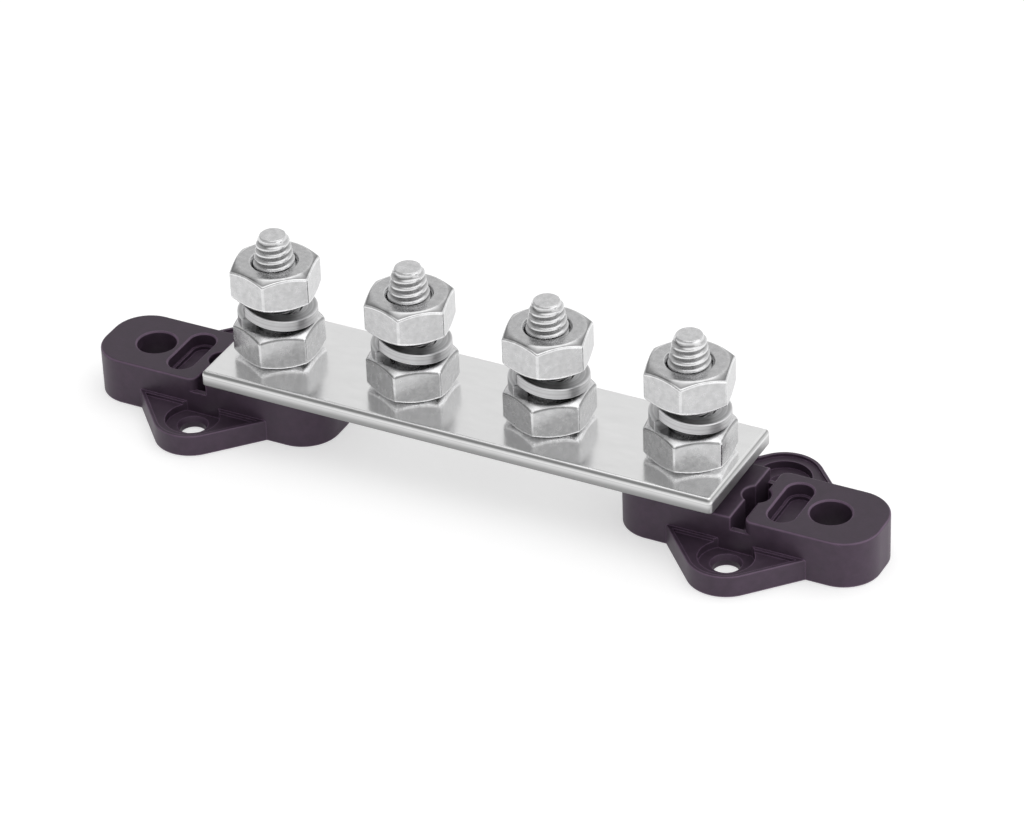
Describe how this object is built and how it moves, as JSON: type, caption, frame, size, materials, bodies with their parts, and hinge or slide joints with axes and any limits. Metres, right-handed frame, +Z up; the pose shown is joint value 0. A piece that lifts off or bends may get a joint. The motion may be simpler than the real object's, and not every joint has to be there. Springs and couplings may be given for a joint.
{
  "type": "terminal strip",
  "caption": "Bolt-down terminal strip: flat plated bus bar on black moulded end feet with screw ears, carrying a row of threaded studs with hexagon nuts and split spring washers for cable lugs.",
  "frame": {"origin": "under the middle of the strip, on the plane that the feet stand on", "axes": "+X along the strip to its right-hand end in the picture, +Y across it away from the viewer, +Z up along the studs"},
  "size_m": [0.1804, 0.0452, 0.0449],
  "materials": {
    "plated_bar": "bright tin-plated copper bar, smooth, soft mirror-like reflections",
    "foot_plastic": "black moulded plastic, fine-grained satin surface",
    "zinc_steel": "zinc-plated steel, satin"
  },
  "bodies": {
    "root": {"bus_bar": "plated_bar", "left_foot": "foot_plastic", "right_foot": "foot_plastic", "end_bolt_1": "zinc_steel", "end_bolt_4": "zinc_steel", "clinch_stud_2": "zinc_steel", "clinch_stud_3": "zinc_steel", "lower_nut_1": "zinc_steel", "spring_washer_1": "zinc_steel", "top_nut_1": "zinc_steel", "lower_nut_2": "zinc_steel", "spring_washer_2": "zinc_steel", "top_nut_2": "zinc_steel", "lower_nut_3": "zinc_steel", "spring_washer_3": "zinc_steel", "top_nut_3": "zinc_steel", "lower_nut_4": "zinc_steel", "spring_washer_4": "zinc_steel", "top_nut_4": "zinc_steel"}
  },
  "joints": []
}
